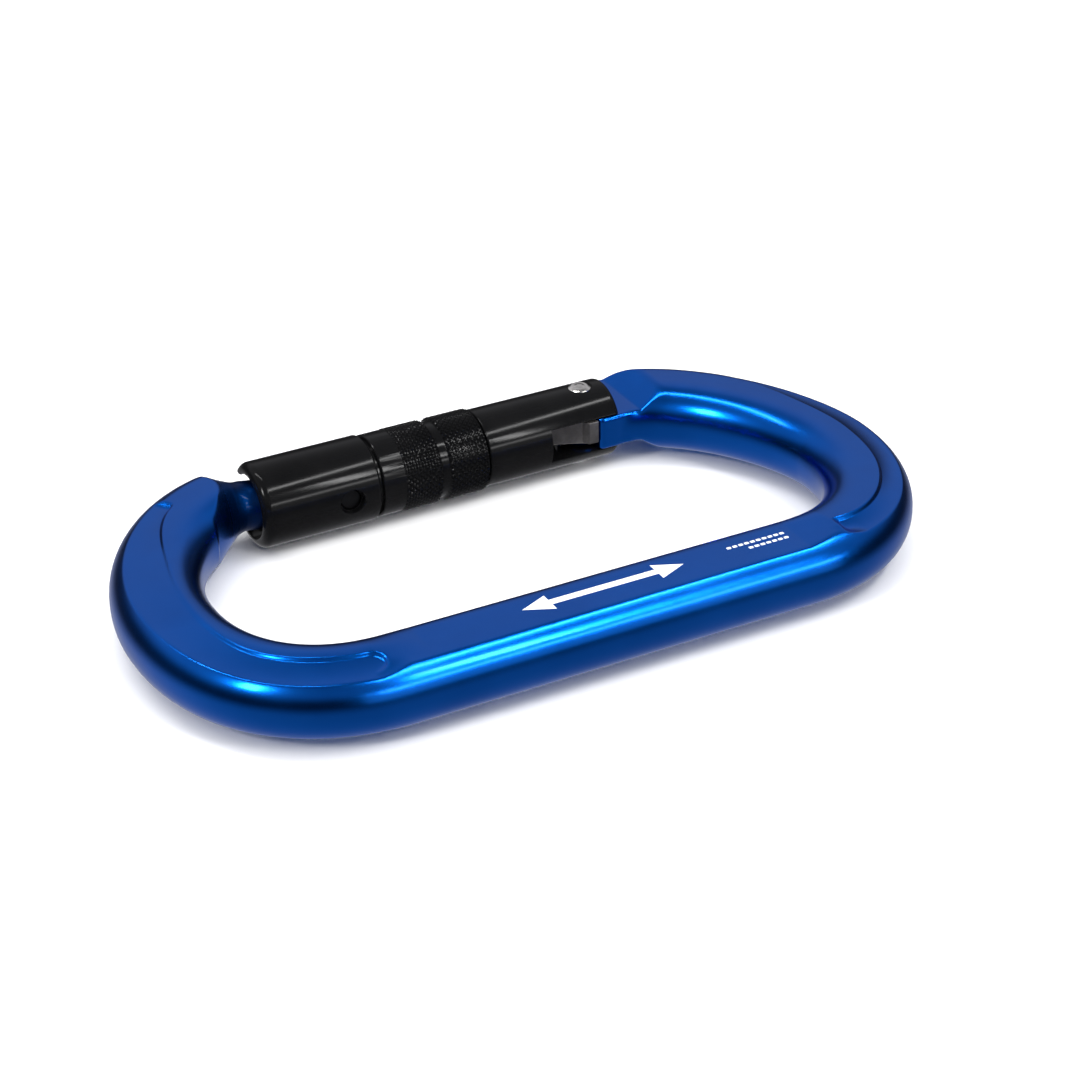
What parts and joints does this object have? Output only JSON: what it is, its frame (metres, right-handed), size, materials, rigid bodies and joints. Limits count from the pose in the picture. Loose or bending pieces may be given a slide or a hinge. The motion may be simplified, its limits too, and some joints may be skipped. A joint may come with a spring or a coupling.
{
  "type": "locking carabiner",
  "caption": "Oval locking carabiner: forged bar, inward-opening hinged gate with a keylock nose and a spring-loaded lift-and-twist locking sleeve with knurled bands.",
  "frame": {"origin": "middle of the bounding box at rest, gate closed: in the plane that halves the bar's thickness", "axes": "+X along the oval towards the hinge end, +Y across it from the spine towards the gate, +Z square to the plane of the oval"},
  "size_m": [0.11, 0.0614, 0.012],
  "materials": {
    "anodised_blue": "glossy blue anodised forged aluminium, fine blasted grain under the gloss",
    "anodised_black": "black anodised aluminium, satin, turned, with two diamond knurled bands",
    "bright_steel": "bright stainless steel, domed and slightly dented by riveting",
    "grey_steel": "grey stamped steel, plain finish",
    "spring_steel": "drawn spring wire, smooth",
    "dark_steel": "black oxide on steel, satin"
  },
  "bodies": {
    "frame": {"body_frame": "anodised_blue"},
    "gate": {"gate_arm": "anodised_black", "hinge_rivet": "bright_steel", "retaining_ring": "spring_steel", "gate_spring": "spring_steel", "sleeve_spring": "spring_steel"},
    "pusher": {"spring_pusher": "grey_steel"},
    "washer": {"thrust_washer": "grey_steel"},
    "sleeve": {"lock_barrel": "anodised_black", "grip_sleeve": "anodised_black", "guide_pin": "dark_steel"}
  },
  "joints": [
    {"name": "gate_pivot", "type": "hinge", "parent": "frame", "child": "gate", "pos_m": [0.0231, 0.02457, 0], "axis": [0, 0, 1], "range_deg": [0, 26], "stiffness_Nm_per_rad": 0.35, "springref_deg": -28.65},
    {"name": "pusher_slide", "type": "slide", "parent": "gate", "child": "pusher", "axis": [-1, 0, 0], "range_m": [0, 0.0021], "deforming": ["gate_spring"]},
    {"name": "sleeve_slide", "type": "slide", "parent": "gate", "child": "washer", "axis": [-1, 0, 0], "range_m": [0, 0.0022], "stiffness_N_per_m": 1500, "springref_m": -0.003, "deforming": ["sleeve_spring"]},
    {"name": "sleeve_twist", "type": "hinge", "parent": "washer", "child": "sleeve", "pos_m": [-0.01505, 0.02457, 0], "axis": [1, 0, 0], "range_deg": [0, 90]}
  ],
  "couplings": [
    {"joint": "pusher_slide", "follows": "gate_pivot", "m_per_rad": 0.0045}
  ]
}
